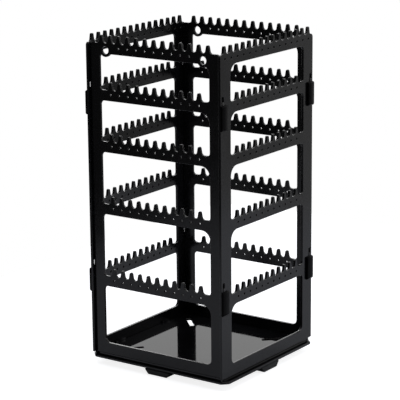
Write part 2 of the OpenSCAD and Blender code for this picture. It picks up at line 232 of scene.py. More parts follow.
def bulged(loop: Loop, centre: Point, r: float) -> Loop:
    """A clockwise hole with a round boss grown into it.

    Args:
        loop: The hole. The circle crosses it twice.
        centre: Centre of the boss.
        r: Radius of the boss.

    Returns:
        The hole, with its stretch inside the circle swapped for the circle's arc.
    """
    mid = Vector(centre)
    points = [Vector(p) for p in loop]
    within = [(p - mid).length < r for p in points]
    n = len(points)
    start = next(i for i in range(n) if within[i] and not within[i - 1])
    end = next(i % n for i in range(start, start + n) if not within[i % n])
    first = crossing(mid, r, points[start], points[start - 1])
    last = crossing(mid, r, points[end - 1], points[end])
    a0, a1 = bearing(first - mid), bearing(last - mid)
    kept = [tuple(points[(end + i) % n]) for i in range((start - end) % n)]
    return kept + arc(mid.x, mid.y, r, a0, a0 + (a1 - a0) % 360, BOSS_CHORDS)


# ---- Meshes ---------------------------------------------------------------------------------

def added(name: str, data: bpy.types.ID) -> bpy.types.Object:
    """Makes an object and adds it to the scene.

    Args:
        name: Its name.
        data: A mesh, a lamp or a camera.

    Returns:
        The object, at the origin.
    """
    obj = bpy.data.objects.new(name, data)
    bpy.context.scene.collection.objects.link(obj)
    return obj


def upright() -> Matrix:
    """Plan axes: u along X, v along Y and w up."""
    return Matrix.Scale(MM, 4)


def spun(i: int) -> Matrix:
    """Plan axes turned by i quarters about Z."""
    return upright() @ Matrix.Rotation(math.radians(90 * i), 4, "Z")


def end_on() -> Matrix:
    """From a section's axes to a panel's: its u runs inward, its v up and its w along."""
    return Matrix(((0, 0, 1, 0), (0, 1, 0, 0), (1, 0, 0, 0), (0, 0, 0, 1)))


class Draft:
    """Collects closed shells, drawn in millimetres, and writes them as one mesh in metres."""

    SHARP = math.radians(38)  # corners that turn by more are sharp edges

    def __init__(self) -> None:
        """Starts an empty draft."""
        self.bm = bmesh.new()

    def ring(self, place: Matrix, loop: Loop, w: float) -> Ring:
        """Writes the points of a loop at depth w and returns their vertices."""
        return [self.bm.verts.new(place @ Vector((u, v, w))) for u, v in loop]

    def band(self, low: Ring, high: Ring, loop: Loop) -> None:
        """Joins two rings of a loop with quads, sharp where the loop has a corner.

        Args:
            low, high: The rings.
            loop: The loop, whose corners decide which upright edges are sharp.
        """
        n = len(loop)
        for i in range(n):
            j = (i + 1) % n
            self.bm.faces.new((low[i], low[j], high[j], high[i])).smooth = True
        for i in range(n):
            a = Vector(loop[i]) - Vector(loop[i - 1])
            b = Vector(loop[(i + 1) % n]) - Vector(loop[i])
            if a.angle(b) > self.SHARP:
                self.bm.edges.get((low[i], high[i])).smooth = False

    def cap(self, loops: list[Loop], rings: list[Ring], up: bool) -> None:
        """Fills the face between an outline and its holes with flat triangles.

        Args:
            loops: The outline, then its holes.
            rings: Their vertices.
            up: Whether the face looks up the plate's own w axis.
        """
        flat = [Vector(p) for loop in loops for p in loop]
        verts = [v for ring in rings for v in ring]
        faces, start = [], 0
        for loop in loops:
            order = list(range(start, start + len(loop)))
            faces.append(order if area(loop) > 0 else order[::-1])
            start += len(loop)
        _, _, tris, source, _, inside = delaunay_2d_cdt(flat, [], faces, INSIDE_ONLY, CDT_NEAR,
                                                        True)
        for tri, owners in zip(tris, inside):
            if list(owners) == [0]:
                corner = [verts[source[k][0]] for k in tri]
                self.bm.faces.new(corner if up else corner[::-1]).smooth = False

    def slab(self, place: Matrix, outer: Loop, holes: list[Loop], w0: float, w1: float,
             edge: float, steps: int = 2) -> None:
        """A plate with rounded edges round its outline and its holes.

        Args:
            place: From the plate's own axes, in millimetres, to the frame in metres.
            outer: Outline.
            holes: Openings.
            w0, w1: Depth of the two faces.
            edge: Radius of the edges.
            steps: Chords in that radius.
        """
        loops = [turned(outer, True)] + [turned(h, False) for h in holes]
        angles = [math.pi / 2 * i / steps for i in range(steps + 1)]
        levels = [(edge * (1 - math.sin(a)), w0 + edge * (1 - math.cos(a))) for a in angles]
        levels += [(d, w0 + w1 - w) for d, w in reversed(levels)]
        ends: list[tuple[Ring, Ring]] = []
        for loop in loops:
            rings = [self.ring(place, inset(loop, d), w) for d, w in levels]
            for low, high in zip(rings, rings[1:]):
                self.band(low, high, loop)
            ends.append((rings[0], rings[-1]))
        faces = [inset(loop, edge) for loop in loops]
        self.cap(faces, [low for low, _ in ends], False)
        self.cap(faces, [high for _, high in ends], True)

    def lathe(self, profile: Loop, steps: int = TURN_STEPS) -> None:
        """A closed section turned about the Z axis.

        Args:
            profile: Closed loop of (radius, height), which doesn't reach the axis.
            steps: Points round the axis.
        """
        spins = [math.tau * i / steps for i in range(steps)]
        rings = [[self.bm.verts.new(Vector((r * math.cos(a), r * math.sin(a), z)) * MM)
                  for a in spins] for r, z in profile]
        n = len(profile)
        for k in range(n):
            low, high = rings[k], rings[(k + 1) % n]
            a = Vector(profile[k]) - Vector(profile[k - 1])
            b = Vector(profile[(k + 1) % n]) - Vector(profile[k])
            for i in range(steps):
                j = (i + 1) % steps
                self.bm.faces.new((low[i], low[j], high[j], high[i])).smooth = True
            if a.angle(b) > self.SHARP:
                for i in range(steps):
                    self.bm.edges.get((low[i], low[(i + 1) % steps])).smooth = False

    def write(self, name: str) -> bpy.types.Object:
        """Turns the draft into an object.

        Args:
            name: Name of the object.

        Returns:
            The object, at the origin, with its faces pointing outwards.
        """
        bmesh.ops.recalc_face_normals(self.bm, faces=self.bm.faces)
        mesh = bpy.data.meshes.new(name)
        self.bm.to_mesh(mesh)
        self.bm.free()
        return added(name, mesh)


def bake(obj: bpy.types.Object) -> None:
    """Replaces an object's mesh by what its modifiers make of it.

    Args:
        obj: The object. Its modifiers are removed.
    """
    graph = bpy.context.evaluated_depsgraph_get()
    graph.update()
    result = bpy.data.meshes.new_from_object(obj.evaluated_get(graph))
    old = obj.data
    obj.modifiers.clear()
    obj.data = result
    result.name = obj.name
    bpy.data.meshes.remove(old)


def discard(*objs: bpy.types.Object) -> None:
    """Removes helper objects."""
    for obj in objs:
        bpy.data.objects.remove(obj, do_unlink=True)


class Carving(Enum):
    """What a tool does to a piece."""

    CUT = "DIFFERENCE"
    JOIN = "UNION"


def carved(obj: bpy.types.Object, tool: bpy.types.Object, how: Carving) -> None:
    """Applies a boolean of two meshes and keeps the tool.

    Args:
        obj: What is changed.
        tool: What cuts or joins it. Its own pieces may overlap.
        how: Whether the tool is cut out or joined on.
    """
    step = obj.modifiers.new("carve", "BOOLEAN")
    step.operation = how.value
    step.solver = "EXACT"
    step.use_self = True
    step.object = tool
    bake(obj)


# ---- Patterns, in Geometry Nodes ------------------------------------------------------------

class Layout(Enum):
    """How a pattern places its copies."""

    ROW = "row"
    WHEEL = "wheel"


def node(tree: bpy.types.NodeTree, kind: str, links: dict[int | str, object] | None = None,
         **settings: object) -> bpy.types.Node:
    """Adds a node with its settings and what goes into its sockets.

    Args:
        tree: Where it goes.
        kind: Type of the node.
        links: For each input, by name or place, an output socket or a value.
        settings: Attributes of the node.

    Returns:
        The node.
    """
    made = tree.nodes.new(kind)
    for key, value in settings.items():
        setattr(made, key, value)
    for key, value in (links or {}).items():
        if isinstance(value, bpy.types.NodeSocket):
            tree.links.new(value, made.inputs[key])
        else:
            made.inputs[key].default_value = value
    return made


class Pattern:
    """Copies of a small shape in a row along X, or on a wheel about Z."""

    INPUTS = {"Shape": "NodeSocketObject", "Count": "NodeSocketInt",
              "Spacing": "NodeSocketFloat", "Height": "NodeSocketFloat",
              "Finish": "NodeSocketMaterial"}

    def __init__(self, layout: Layout) -> None:
        """Builds the node tree with its named inputs.

        Args:
            layout: How the copies are placed.
        """
        self.tree = tree = bpy.data.node_groups.new(f"pattern_{layout.value}",
                                                    "GeometryNodeTree")
        for name, kind in self.INPUTS.items():
            tree.interface.new_socket(name, in_out="INPUT", socket_type=kind)
        tree.interface.new_socket("Result", in_out="OUTPUT", socket_type="NodeSocketGeometry")
        given = node(tree, "NodeGroupInput").outputs
        shape = node(tree, "GeometryNodeObjectInfo", {"Object": given["Shape"]})
        place = self.row if layout is Layout.ROW else self.wheel
        places = place(tree, given)
        copies = node(tree, "GeometryNodeInstanceOnPoints",
                      {"Points": places.outputs[0], "Instance": shape.outputs["Geometry"]})
        real = node(tree, "GeometryNodeRealizeInstances", {"Geometry": copies.outputs[0]})
        joined = node(tree, "GeometryNodeMergeByDistance",
                      {"Geometry": real.outputs[0], "Distance": WELD * MM})
        dressed = node(tree, "GeometryNodeSetMaterial",
                       {"Geometry": joined.outputs[0], "Material": given["Finish"]})
        node(tree, "NodeGroupOutput", {0: dressed.outputs[0]})

    @staticmethod
    def row(tree: bpy.types.NodeTree, given: bpy.types.NodeOutputs) -> bpy.types.Node:
        """Places along X, about the middle.

        Args:
            tree: The pattern's tree.
            given: Its inputs.

        Returns:
            The node whose first output is the points.
        """
        gaps = node(tree, "ShaderNodeMath", {0: given["Count"], 1: 1.0}, operation="SUBTRACT")
        span = node(tree, "ShaderNodeMath", {0: gaps.outputs[0], 1: given["Spacing"]},
                    operation="MULTIPLY")
        left = node(tree, "ShaderNodeMath", {0: span.outputs[0], 1: -0.5}, operation="MULTIPLY")
        start = node(tree, "ShaderNodeCombineXYZ", {"X": left.outputs[0], "Z": given["Height"]})
        step = node(tree, "ShaderNodeCombineXYZ", {"X": given["Spacing"]})
        return node(tree, "GeometryNodeMeshLine",
                    {"Count": given["Count"], "Start Location": start.outputs[0],
                     "Offset": step.outputs[0]})

    @staticmethod
    def wheel(tree: bpy.types.NodeTree, given: bpy.types.NodeOutputs) -> bpy.types.Node:
        """Places on a circle about Z.

        Args:
            tree: The pattern's tree.
            given: Its inputs.

        Returns:
            The node whose first output is the points.
        """
        wheel = node(tree, "GeometryNodeMeshCircle",
                     {"Vertices": given["Count"], "Radius": given["Spacing"]})
        lift = node(tree, "ShaderNodeCombineXYZ", {"Z": given["Height"]})
        return node(tree, "GeometryNodeSetPosition",
                    {"Geometry": wheel.outputs[0], "Offset": lift.outputs[0]})

    def make(self, name: str, shape: bpy.types.Object, count: int, spacing: float, height: float,
             finish: bpy.types.Material) -> bpy.types.Object:
        """Makes the pattern as a plain mesh.

        Args:
            name: Name of the object.
            shape: What is copied.
            count: Number of copies.
            spacing: Distance between copies in a row, or radius of the wheel, in millimetres.
            height: Height of the copies, in millimetres.
            finish: Material of the copies.

        Returns:
            The object, without modifiers.
        """
        obj = added(name, bpy.data.meshes.new(name))
        step = obj.modifiers.new("pattern", "NODES")
        step.node_group = self.tree
        values = {"Shape": shape, "Count": count, "Spacing": spacing * MM, "Height": height * MM,
                  "Finish": finish}
        for item in self.tree.interface.items_tree:
            if item.name in values:
                step[item.identifier] = values[item.name]
        bake(obj)
        return obj


def wire(name: str, points: Loop, closed: bool) -> bpy.types.Object:
    """A chain of edges in the XY plane, as a shape for a pattern.

    Args:
        name: Name of the object.
        points: The points of the chain.
        closed: Whether its ends are joined.

    Returns:
        The object.
    """
    mesh = bpy.data.meshes.new(name)
    edges = [(i, i + 1) for i in range(len(points) - 1)]
    if closed:
        edges.append((len(points) - 1, 0))
    mesh.from_pydata([(x * MM, y * MM, 0) for x, y in points], edges, [])
    return added(name, mesh)


def chains(obj: bpy.types.Object) -> list[Loop]:
    """Reads the chains of edges of a pattern and removes it.

    Args:
        obj: A pattern of wires.

    Returns:
        Each chain as points in millimetres, from left to right where it is open.
    """
    places = [(v.co.x / MM, v.co.y / MM) for v in obj.data.vertices]
    near: dict[int, list[int]] = {i: [] for i in range(len(places))}
    for a, b in (edge.vertices for edge in obj.data.edges):
        near[a].append(b)
        near[b].append(a)
    out: list[Loop] = []
    left = dict(near)
    while left:
        ends = [i for i in left if len(near[i]) == 1]
        here = min(ends or left, key=lambda i: places[i][0])
        chain = []
        while here in left:
            chain.append(places[here])
            del left[here]
            here = next((i for i in near[here] if i in left), -1)
        out.append(chain)
    discard(obj)
    return out


# ---- Finishes -------------------------------------------------------------------------------

def colour(code: str) -> tuple[float, float, float, float]:
    """An sRGB hex code as linear values.

    Args:
        code: Such as #b8bac1.

    Returns:
        Red, green, blue and an alpha of 1.
    """
    # The sRGB curve
    parts = [int(code[i:i + 2], 16) / 255 for i in (1, 3, 5)]
    line = [c / 12.92 if c <= 0.04045 else ((c + 0.055) / 1.055) ** 2.4 for c in parts]
    return (line[0], line[1], line[2], 1.0)


def cleared(owner: bpy.types.Material | bpy.types.World) -> bpy.types.NodeTree:
    """Turns the nodes of a material or a world on, and clears them.

    Args:
        owner: The material or the world.

    Returns:
        Its empty tree.
    """
    owner.use_nodes = True
    owner.node_tree.nodes.clear()
    return owner.node_tree


@dataclass(frozen=True)
class Finish:
    """A surface: its colours, gloss and relief. Pattern sizes are in millimetres."""

    name: str
    base: str  # colour
    worn: str  # colour of its patches and of its outer edges
    rough: tuple[float, float]
    metallic: float = 0.0
    ior: float = 1.5
    specular: float = 0.5
    cloud: float = 30.0  # size of the patches
    grain: float = 0.6  # size of the relief
    depth: float = 0.02  # height of the relief
    scratch: float = 0.0  # spacing of upright tool marks, none at 0
    edge: float = 0.3  # how far the outer edges go to the worn colour

    def material(self) -> bpy.types.Material:
        """Builds the procedural material, or returns it where it exists.

        Returns:
            A Principled material with clouded colour and gloss, grain, scratches and worn edges.
        """
        if self.name in bpy.data.materials:
            return bpy.data.materials[self.name]
        patch_low, patch_high, patch_share = 0.45, 0.75, 0.25  # of the noise, and how it tells
        ridge_low, ridge_high = 0.52, 0.62  # pointiness: 0.5 is flat, more is an outer edge
        gloss_low, gloss_high = 0.3, 0.7
        stretch, relief_strength = 0.03, 0.35
        made = bpy.data.materials.new(self.name)
        tree = cleared(made)
        where = node(tree, "ShaderNodeTexCoord").outputs["Object"]
        clouds = node(tree, "ShaderNodeTexNoise",
                      {"Vector": where, "Scale": 1 / (self.cloud * MM), "Detail": 3.0,
                       "Roughness": 0.55})
        grain = node(tree, "ShaderNodeTexNoise",
                     {"Vector": where, "Scale": 1 / (self.grain * MM), "Detail": 2.0,
                      "Roughness": 0.6})
        # Mould wear and handling: patches that are a little paler and duller than the rest
        patch = node(tree, "ShaderNodeMapRange",
                     {"Value": clouds.outputs["Fac"], "From Min": patch_low,
                      "From Max": patch_high})
        ridge = node(tree, "ShaderNodeNewGeometry").outputs["Pointiness"]
        worn = node(tree, "ShaderNodeMapRange",
                    {"Value": ridge, "From Min": ridge_low, "From Max": ridge_high,
                     "To Max": self.edge})
        amount = node(tree, "ShaderNodeMath",
                      {0: patch.outputs[0], 1: patch_share, 2: worn.outputs[0]},
                      operation="MULTIPLY_ADD", use_clamp=True)
        tone = node(tree, "ShaderNodeMix",
                    {0: amount.outputs[0], MIX_A: colour(self.base), MIX_B: colour(self.worn)},
                    data_type="RGBA")
        gloss = node(tree, "ShaderNodeMapRange",
                     {"Value": clouds.outputs["Fac"], "From Min": gloss_low,
                      "From Max": gloss_high, "To Min": self.rough[0], "To Max": self.rough[1]})
        height = grain.outputs["Fac"]
        if self.scratch:
            along = node(tree, "ShaderNodeMapping",
                         {"Vector": where, "Scale": (1.0, 1.0, stretch)})
            lines = node(tree, "ShaderNodeTexNoise",
                         {"Vector": along.outputs[0], "Scale": 1 / (self.scratch * MM),
                          "Detail": 1.0})
            height = node(tree, "ShaderNodeMath", {0: height, 1: lines.outputs["Fac"]},
                          operation="ADD").outputs[0]
        relief = node(tree, "ShaderNodeBump",
                      {"Height": height, "Strength": relief_strength,
                       "Distance": self.depth * MM})
        shader = node(tree, "ShaderNodeBsdfPrincipled",
                      {"Base Color": tone.outputs[MIX_RESULT], "Roughness": gloss.outputs[0],
                       "Metallic": self.metallic, "IOR": self.ior,
                       "Specular IOR Level": self.specular, "Normal": relief.outputs[0]})
        node(tree, "ShaderNodeOutputMaterial", {0: shader.outputs[0]})
        return made


# Moulded from a finely eroded tool: deep black with a soft sheen
PANEL_ABS = Finish("abs_moulded_satin_black", "#060608", "#16171b", (0.16, 0.24), grain=0.5)
# Painted shade: a darker copy of the panels' black, with almost no sheen, so the sockets read
# darker than the posts
SOCKET_PAINTED_SHADE_ABS = Finish("abs_moulded_deep_black", "#020203", "#08080a", (0.3, 0.4), specular=0.05,
                    grain=0.5)
# Moulded from a polished tool: nearly a mirror, with a faint ripple from flow
GLOSS_ABS = Finish("abs_moulded_gloss_black", "#060607", "#141518", (0.03, 0.07), cloud=45,
                   grain=9.0, depth=0.012)
# The base is moulded like the panels, but duller
BASE_ABS = Finish("abs_moulded_dull_black", "#0a0b0c", "#1c1e20", (0.36, 0.48), grain=0.6)
# Matt and slightly grey where it has picked up dust
PAD_RUBBER = Finish("rubber_moulded_black", "#1a1a1b", "#3a3936", (0.72, 0.88), ior=1.52,
                    specular=0.3, cloud=6, grain=0.4, depth=0.05)
# Waxy off-white, barely shiny
CAGE_NYLON = Finish("nylon_moulded_natural", "#d9d4c6", "#c5bda9", (0.4, 0.55), ior=1.53,
                    cloud=12, grain=0.8, depth=0.02, edge=0.1)
# Lapped balls, mirror bright
BALL_STEEL = Finish("steel_lapped_bearing", "#c9cbce", "#b4b6ba", (0.05, 0.12), metallic=1.0,
                    cloud=3, grain=1.5, depth=0.002, edge=0.0)
# Bright zinc plate with a faint bluish cloud and fine turning marks
ZINC_STEEL = Finish("steel_zinc_plated", "#b3b8c0", "#989ca2", (0.22, 0.38), metallic=1.0,
                    cloud=5, grain=0.7, depth=0.01, scratch=0.3, edge=0.1)


def dress(obj: bpy.types.Object, finish: Finish, body: str, slot_name: str, *nodes: str) -> None:
    """Gives a finished piece its material and its place in the frame, and reports it.

    Args:
        obj: The piece.
        finish: Its finish.
        body: The body it moves with.
        slot_name: The record's material slot. Not used.
        nodes: CAD nodes that it stands for.
    """
    obj.data.materials.clear()
    obj.data.materials.append(finish.material())
    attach(obj, body)
    if nodes:
        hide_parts(*nodes)
    low = [min(v.co[k] for v in obj.data.vertices) / MM for k in range(3)]
    high = [max(v.co[k] for v in obj.data.vertices) / MM for k in range(3)]
    LOG.info("%s: %d faces, %s to %s mm", obj.name, len(obj.data.polygons),
             [round(x, 1) for x in low], [round(x, 1) for x in high])
    for cad in nodes:
        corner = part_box(cad)
        off = max(max(abs(corner[0][k] / MM - low[k]), abs(corner[1][k] / MM - high[k]))
                  for k in range(3))
        LOG.info("  its box is %.2f mm off %s", off, cad)


# ---- Tower ----------------------------------------------------------------------------------

@dataclass(frozen=True)
class Tower:
    """Sizes that the panels, the tray and the base share."""

    tower_x: float = 150.0  # over the faces of the socket panels
    tower_y: float = 154.0  # length of the socket panels
    panel_t: float = 2.5
    hook_inset: float = 2.6  # of the hook panels' faces, from the socket panels' ends
    play: float = 0.3  # between moulded pieces
    base_h: float = 6.5  # table to flange
    flange_t: float = 2.5
    gap_h: float = 3.1  # the shadow gap between flange and panels
    gap_d: float = 1.8  # how far the platform stands inside the panels' faces
    flange_out: float = 1.4
    socket_out: float = 2.0
    floor_t: float = 2.0
    rim_wall: float = 1.0
    lug_w: float = 14.0
    lug_x: float = 38.0  # lugs, from the middle of a panel
    lug_t: float = 1.2
    lug_h: float = 2.0
    edge: float = 0.3  # radius of the panels' edges
    small_edge: float = 0.25  # and of small forms
    tool_edge: float = 0.05  # and of what only cuts, which stays near sharp
    sink: float = 0.3  # how deep one form of a moulding starts in another

    @property
    def panel_z(self) -> float:
        """Bottom edge of the panels and top of the tray floor."""
        return self.base_h + self.flange_t + self.gap_h

    @property
    def under_z(self) -> float:
        """Underside of the tray floor."""
        return self.panel_z - self.floor_t

    @property
    def hook_y(self) -> float:
        """Outer face of a hook panel."""
        return self.tower_y / 2 - self.hook_inset

    @property
    def socket_x(self) -> float:
        """Outer face of a socket panel."""
        return self.tower_x / 2

    @property
    def flange_x(self) -> float:
        """Outer edge of the tray's flange, past the sockets."""
        return self.socket_x + self.socket_out + self.flange_out

    @property
    def flange_y(self) -> float:
        """Outer edge of the tray's flange, past the hook panels."""
        return self.hook_y + self.flange_out

    @property
    def lug_reach(self) -> float:
        """Outer face of a lug's tongue, inward from its panel's face."""
        return self.gap_d + self.rim_wall + self.play / 2


TOWER = Tower()


class Side(Enum):
    """The four panels, by where they stand."""

    FRONT = "front_panel"
    BACK = "back_panel"
    RIGHT = "right_panel"
    LEFT = "left_panel"

    @property
    def has_hooks(self) -> bool:
        """Whether the panel carries the hooks, so that its neighbours carry the sockets."""
        return self in (Side.FRONT, Side.BACK)

    def place(self) -> Matrix:
        """From a panel's own axes to the frame.

        Returns:
            A matrix for u along the panel, v up from its bottom edge and w inward from its face.
        """
        columns, face = {
            Side.FRONT: (((1, 0, 0), (0, 0, 1), (0, 1, 0)), (0, -TOWER.hook_y)),
            Side.BACK: (((1, 0, 0), (0, 0, 1), (0, -1, 0)), (0, TOWER.hook_y)),
            Side.RIGHT: (((0, 1, 0), (0, 0, 1), (-1, 0, 0)), (TOWER.socket_x, 0)),
            Side.LEFT: (((0, 1, 0), (0, 0, 1), (1, 0, 0)), (-TOWER.socket_x, 0)),
        }[self]
        turn = Matrix(columns).transposed().to_4x4()
        return Matrix.Scale(MM, 4) @ Matrix.Translation((*face, TOWER.panel_z)) @ turn


@dataclass
class CombPanel:
    """One comb panel: posts, a sill, five rails with teeth, and the fittings at its ends."""

    side: Side
    rows: Pattern
    socket_post: float = 16.2
    hook_post: float = 11.0
    top_r: float = 3.2
    sill_h: float = 10.7
    comb_z: tuple[float, ...] = (77.0, 147.0, 206.4, 255.1, 298.7)  # bottoms of the notches
    rail_h: float = 10.0
    pitch: float = 9.9
    inner_n: int = 11
    hook_top_n: int = 13
    socket_top_n: int = 15
    tooth_h: float = 7.3
    tooth_tip: float = 3.2
    notch_r: float = 2.8
    stud_d: float = 2.0
    stud_drop: float = 4.1
    bend_r: float = 9.5
    small_r: float = 4.2
    sill_r: float = 5.0
    eye_d: float = 7.4
    eye_ring: float = 2.6
    eye_x: float = 54.5
    eye_drop: float = 6.6
    eye_teeth: int = 2  # at each end of the top row, without a stud hole
    socket_z: tuple[float, float] = (60.1, 230.7)
    socket_h: float = 22.6
    socket_w: float = 9.8
    socket_wall: float = 1.2
    socket_web: float = 1.1
    slit_h: float = 8.0
    slit_r: float = 0.35
    neck_h: float = 3.0
    leg_r: float = 0.5  # corners of the leg's tip
    shoulder_r: float = 0.8  # over the leg
    lug_lift: float = 0.05  # of a lug over the tray floor
    name: str = field(init=False)

    def __post_init__(self) -> None:
        """Works out what follows from the side that the panel stands on."""
        t = TOWER
        self.name = self.side.value
        hooks = self.side.has_hooks
        self.width = t.tower_x - 2 * t.panel_t - 2 * t.play if hooks else t.tower_y
        self.win = self.width / 2 - (self.hook_post if hooks else self.socket_post)
        self.top_n = self.hook_top_n if hooks else self.socket_top_n
        self.tooth_foot = self.pitch - 2 * self.notch_r
        self.slit_w = t.panel_t + 2 * t.play
        self.slit_u = t.hook_y - t.panel_t / 2
        self.leg_u0 = t.tower_x / 2 - t.panel_t + self.socket_web + t.play
        self.leg_u1 = t.tower_x / 2 + t.socket_out - self.socket_wall - t.play
        self.leg_drop = self.slit_h - self.neck_h - 2 * t.play

    # -- the outline --

    def tooth(self) -> Loop:
        """One tooth with half a notch on either side.

        Returns:
            The chain, from left to right.
        """
        half, tip = self.pitch / 2, self.tooth_tip / 2
        left = arc(-half, self.notch_r, self.notch_r, 270, 360, NOTCH_CHORDS)
        right = arc(half, self.notch_r, self.notch_r, 180, 270, NOTCH_CHORDS)
        return left + arc(0, self.tooth_h - tip, tip, 180, 0, TIP_CHORDS) + right

    def row(self, shape: bpy.types.Object, count: int) -> list[Loop]:
        """The chains of a row of count copies, about the middle of the panel."""
        made = self.rows.make("row", shape, count, self.pitch, 0, PANEL_ABS.material())
        return chains(made)

    def hook_path(self, base: float) -> Loop:
        """A hook on the right edge, whose leg hangs from the neck's end.

        Args:
            base: Foot of the socket that it hooks into.

        Returns:
            The stretch of the outline, walked upwards.
        """
        low = base + self.socket_h + TOWER.play
        tip = low - TOWER.play - self.leg_drop
        edge, high = self.width / 2, low + self.neck_h
        r, top = self.leg_r, self.shoulder_r
        return [(edge, low), (self.leg_u0, low),
                *arc(self.leg_u0 + r, tip + r, r, 180, 270, HOOK_CHORDS),
                *arc(self.leg_u1 - r, tip + r, r, 270, 360, HOOK_CHORDS),
                *arc(self.leg_u1 - top, high - top, top, 0, 90, SHOULDER_CHORDS), (edge, high)]

    def right_edge(self) -> Loop:
        """The right end of the panel.

        Returns:
            The stretch of the outline, walked upwards.
        """
        end, top = self.width / 2, self.comb_z[-1]
        path: Loop = [(end, 0)]
        if self.side.has_hooks:
            for z in self.socket_z:
                path += self.hook_path(z)
        return path + arc(end - self.top_r, top - self.top_r, self.top_r, 0, 90, TOP_CHORDS)

    def outline(self, comb: Loop) -> Loop:
        """The outer loop of the panel.

        Args:
            comb: Chain of the top row's teeth, from left to right.

        Returns:
            The loop, anticlockwise.
        """
        top = self.comb_z[-1]
        flank = (self.top_n - 1) / 2 * self.pitch + self.tooth_foot / 2
        fillet = min(self.notch_r, self.width / 2 - flank - self.top_r)
        teeth = [(u, top + v) for u, v in comb
                 if abs(u) < flank + NEAR and (v > self.notch_r - NEAR or abs(u) < flank - NEAR)]
        foot = arc(flank + fillet, top + fillet, fillet, 270, 180, FILLET_CHORDS)
        right = self.right_edge() + foot
        left = [(-u, v) for u, v in reversed(right)]
        return right + teeth[::-1] + left

    def windows(self, comb: Loop) -> list[Loop]:
        """The big window over the sill and the four between the rails.

        Args:
            comb: Chain of an inner row's teeth, from left to right.

        Returns:
            The loops, clockwise, from the sill up.
        """
        out: list[Loop] = []
        w, n = self.win, self.notch_r
        left_r, right_r = self.bend_r, self.small_r
        if self.side.has_hooks:
            left_r, right_r = right_r, left_r
        for i, z in enumerate(self.comb_z):
            top = z - self.rail_h
            head = (arc(w - right_r, top - right_r, right_r, 0, 90, WINDOW_CHORDS)
                    + arc(-w + left_r, top - left_r, left_r, 90, 180, WINDOW_CHORDS))
            if i == 0:
                r, y = self.sill_r, self.sill_h
                floor = (arc(-w + r, y + r, r, 180, 270, SILL_CHORDS)
                         + arc(w - r, y + r, r, 270, 360, SILL_CHORDS))
            else:
                low = self.comb_z[i - 1]
                floor = (arc(-w + n, low + n, n, 180, 270, NOTCH_CHORDS)
                         + [(u, low + v) for u, v in comb]
                         + arc(w - n, low + n, n, 270, 360, NOTCH_CHORDS))
            loop = turned(floor + head, False)
            if z == self.comb_z[-1] and self.side.has_hooks:
                for s in (-1, 1):
                    loop = bulged(loop, (s * self.eye_x, z - self.eye_drop),
                                  self.eye_d / 2 + self.eye_ring)
            out.append(loop)
        return out

    def small_holes(self) -> list[Loop]:
        """The stud holes, and the eyes of a hook panel or the slits of a socket panel.

        Returns:
            The loops.
        """
        shape = wire("stud", circle(0, -self.stud_drop, self.stud_d / 2, STUD_CHORDS), True)
        inner = self.row(shape, self.inner_n)
        top = self.row(shape, self.top_n - (2 * self.eye_teeth if self.side.has_hooks else 0))
        discard(shape)
        out: list[Loop] = []
        for z in self.comb_z:
            rows = top if z == self.comb_z[-1] else inner
            out += [[(u, v + z) for u, v in loop] for loop in rows]
        for s in (-1, 1):
            if self.side.has_hooks:
                out.append(circle(s * self.eye_x, self.comb_z[-1] - self.eye_drop,
                                  self.eye_d / 2, EYE_CHORDS))
            else:
                for z in self.socket_z:
                    u, low = s * self.slit_u, z + self.socket_h
                    out.append(rectangle(u - self.slit_w / 2, low, u + self.slit_w / 2,
                                         low + self.slit_h, self.slit_r))
        return out

    # -- the solid --

    def plate(self) -> bpy.types.Object:
        """The flat of the panel with its lugs.

        Returns:
            The object.
        """
        shape = wire("tooth", self.tooth(), False)
        inner, = self.row(shape, self.inner_n)
        top, = self.row(shape, self.top_n)
        discard(shape)
        draft = Draft()
        draft.slab(self.side.place(), self.outline(top), self.windows(inner) + self.small_holes(),
                   0, TOWER.panel_t, TOWER.edge)
        for s in (-1, 1):
            self.lug(draft, s * TOWER.lug_x)
        return draft.write(self.name + "_moulding")

    def lug(self, draft: Draft, u: float) -> None:
        """A lug on the inner face, with a tongue down into the tray floor.

        Args:
            draft: The panel's draft.
            u: Its middle, along the panel.
        """
        t = TOWER
        root, reach, low = t.panel_t - t.sink, t.lug_reach + t.lug_t, t.play - t.floor_t
        section = [(root, self.lug_lift), (t.lug_reach, self.lug_lift), (t.lug_reach, low),
                   (reach, low), (reach, t.lug_h), (root, t.lug_h)]
        draft.slab(self.side.place() @ end_on(), section, [], u - t.lug_w / 2, u + t.lug_w / 2,
                   t.small_edge)

    def blocks(self) -> bpy.types.Object:
        """The four socket blocks outside the panel, chamfered at top and bottom.

        Returns:
            The object.
        """
        t = TOWER
        out, cut, end = -t.socket_out, t.socket_out / 2, t.tower_y / 2
        section = [(t.sink, 0.0), (t.sink, self.socket_h), (out + cut, self.socket_h),
                   (out, self.socket_h - cut), (out, cut), (out + cut, 0.0)]
        draft = Draft()
        for u0 in (-end, end - self.socket_w):
            for z in self.socket_z:
                place = self.side.place() @ Matrix.Translation((0, z, 0)) @ end_on()
                draft.slab(place, section, [], u0, u0 + self.socket_w, t.small_edge)
        return draft.write(self.name + "_sockets")

    def pockets(self) -> bpy.types.Object:
        """What the pockets take out of the blocks and the panel.

        Returns:
            The object.
        """
        over = 0.4  # past the top of a block, into its slit
        depth = self.leg_u1 - self.leg_u0 + 2 * TOWER.play
        w0 = self.socket_wall - TOWER.socket_out
        draft = Draft()
        for u in (-self.slit_u, self.slit_u):
            for z in self.socket_z:
                hole = rectangle(u - self.slit_w / 2, z + self.socket_wall, u + self.slit_w / 2,
                                 z + self.socket_h + over)
                draft.slab(self.side.place(), hole, [], w0, w0 + depth, TOWER.tool_edge, 1)
        return draft.write("pockets")

